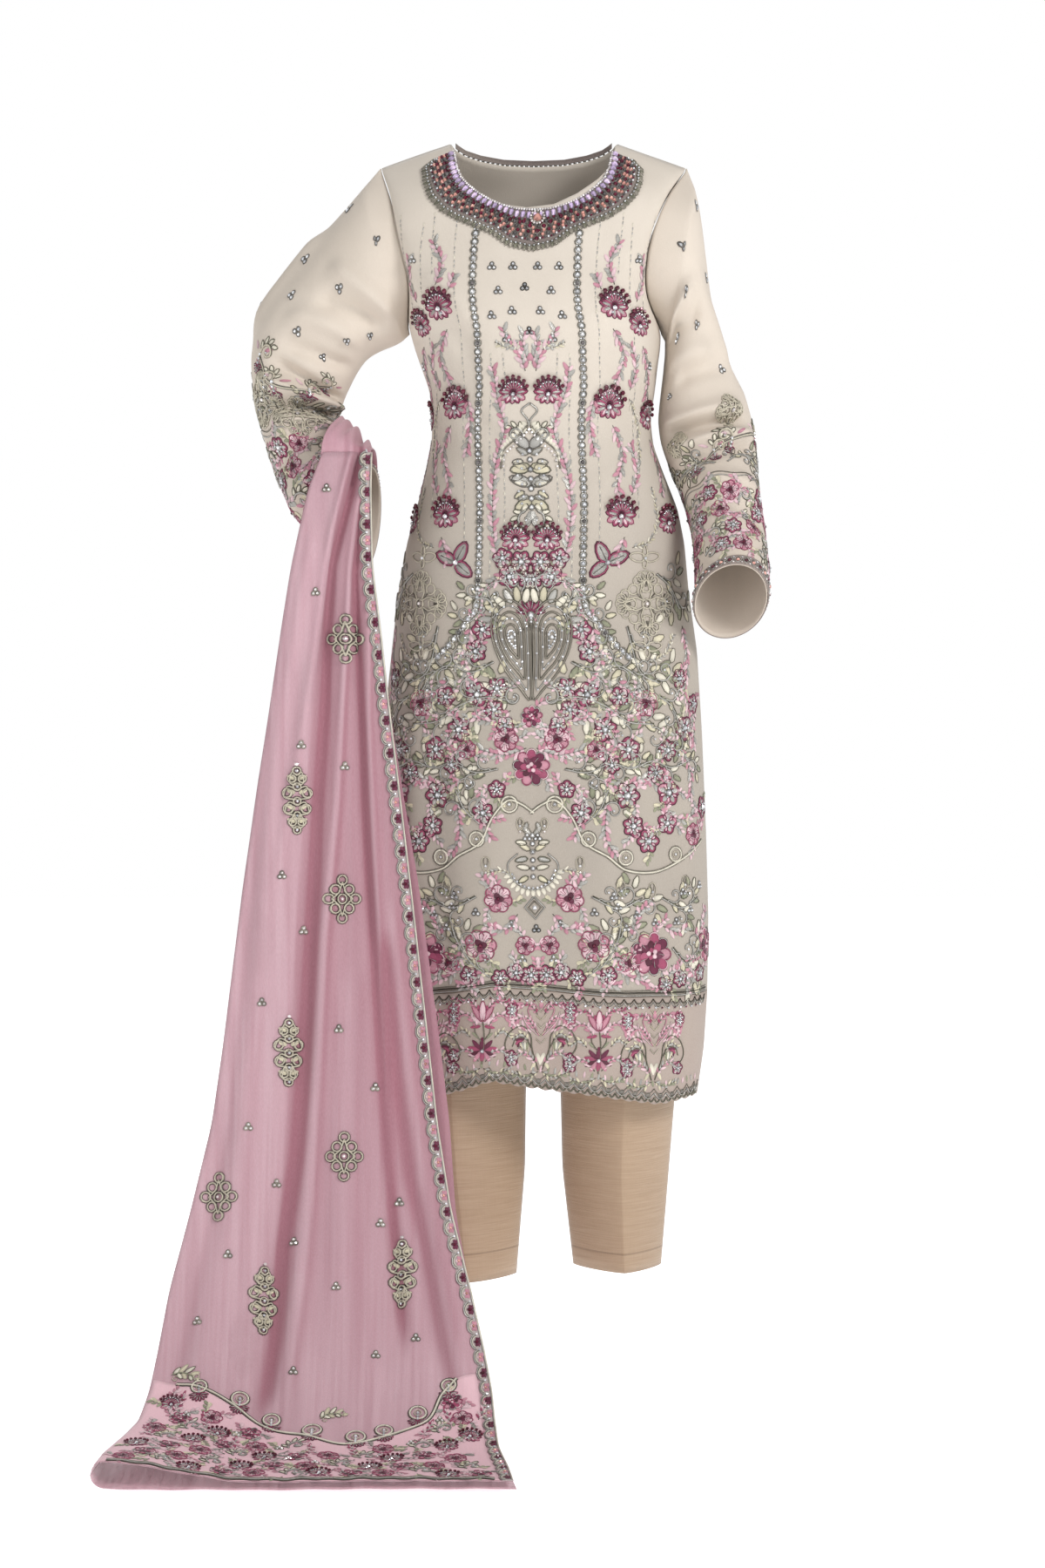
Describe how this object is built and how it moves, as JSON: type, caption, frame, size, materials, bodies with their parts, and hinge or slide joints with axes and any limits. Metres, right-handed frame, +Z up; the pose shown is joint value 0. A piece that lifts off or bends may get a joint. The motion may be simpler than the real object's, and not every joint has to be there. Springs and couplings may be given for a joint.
{
  "type": "salwar kameez suit",
  "caption": "three-piece salwar kameez suit in worn form: long embroidered tunic with sleeves, straight trousers, and a folded scarf hanging over one sleeve to the floor",
  "frame": {"origin": "middle of the kameez neck opening on the line of the two neck points, where the shoulders hold the suit", "axes": "+Z up, the front of the suit faces -Y, +X is the wearer's left"},
  "size_m": [0.7327, 0.6245, 1.4497],
  "materials": {
    "cream_georgette": "matt cream georgette with tonal, silver and rose embroidery",
    "beaded_trim": "cloth trim covered with lilac, maroon and peach beads in antique silver",
    "metallic_braid": "silver thread braid with small maroon and pink stones",
    "hem_lace": "fawn net embroidered with silver and rose irises",
    "raw_silk": "beige raw silk with crosswise slubs and a soft sheen",
    "rose_chiffon": "sheer rose chiffon with scattered cord motifs",
    "rose_border": "pale rose border with maroon flowers and cream cord scrolls"
  },
  "bodies": {
    "root": {"kameez_front": "cream_georgette", "kameez_back": "cream_georgette", "sleeve_right": "cream_georgette", "sleeve_left": "cream_georgette", "neck_trim": "beaded_trim", "neck_piping": "metallic_braid", "cuff_trim_right": "metallic_braid", "cuff_trim_left": "metallic_braid", "hem_lace_front": "hem_lace", "hem_lace_back": "hem_lace", "trouser_front_right": "raw_silk", "trouser_front_left": "raw_silk", "trouser_back_right": "raw_silk", "trouser_back_left": "raw_silk", "trouser_waistband": "raw_silk", "dupatta_front_fall": "rose_chiffon", "dupatta_over_arm": "rose_chiffon", "dupatta_back_fall": "rose_chiffon", "dupatta_side_lace": "metallic_braid", "dupatta_end_border": "rose_border"}
  },
  "joints": []
}
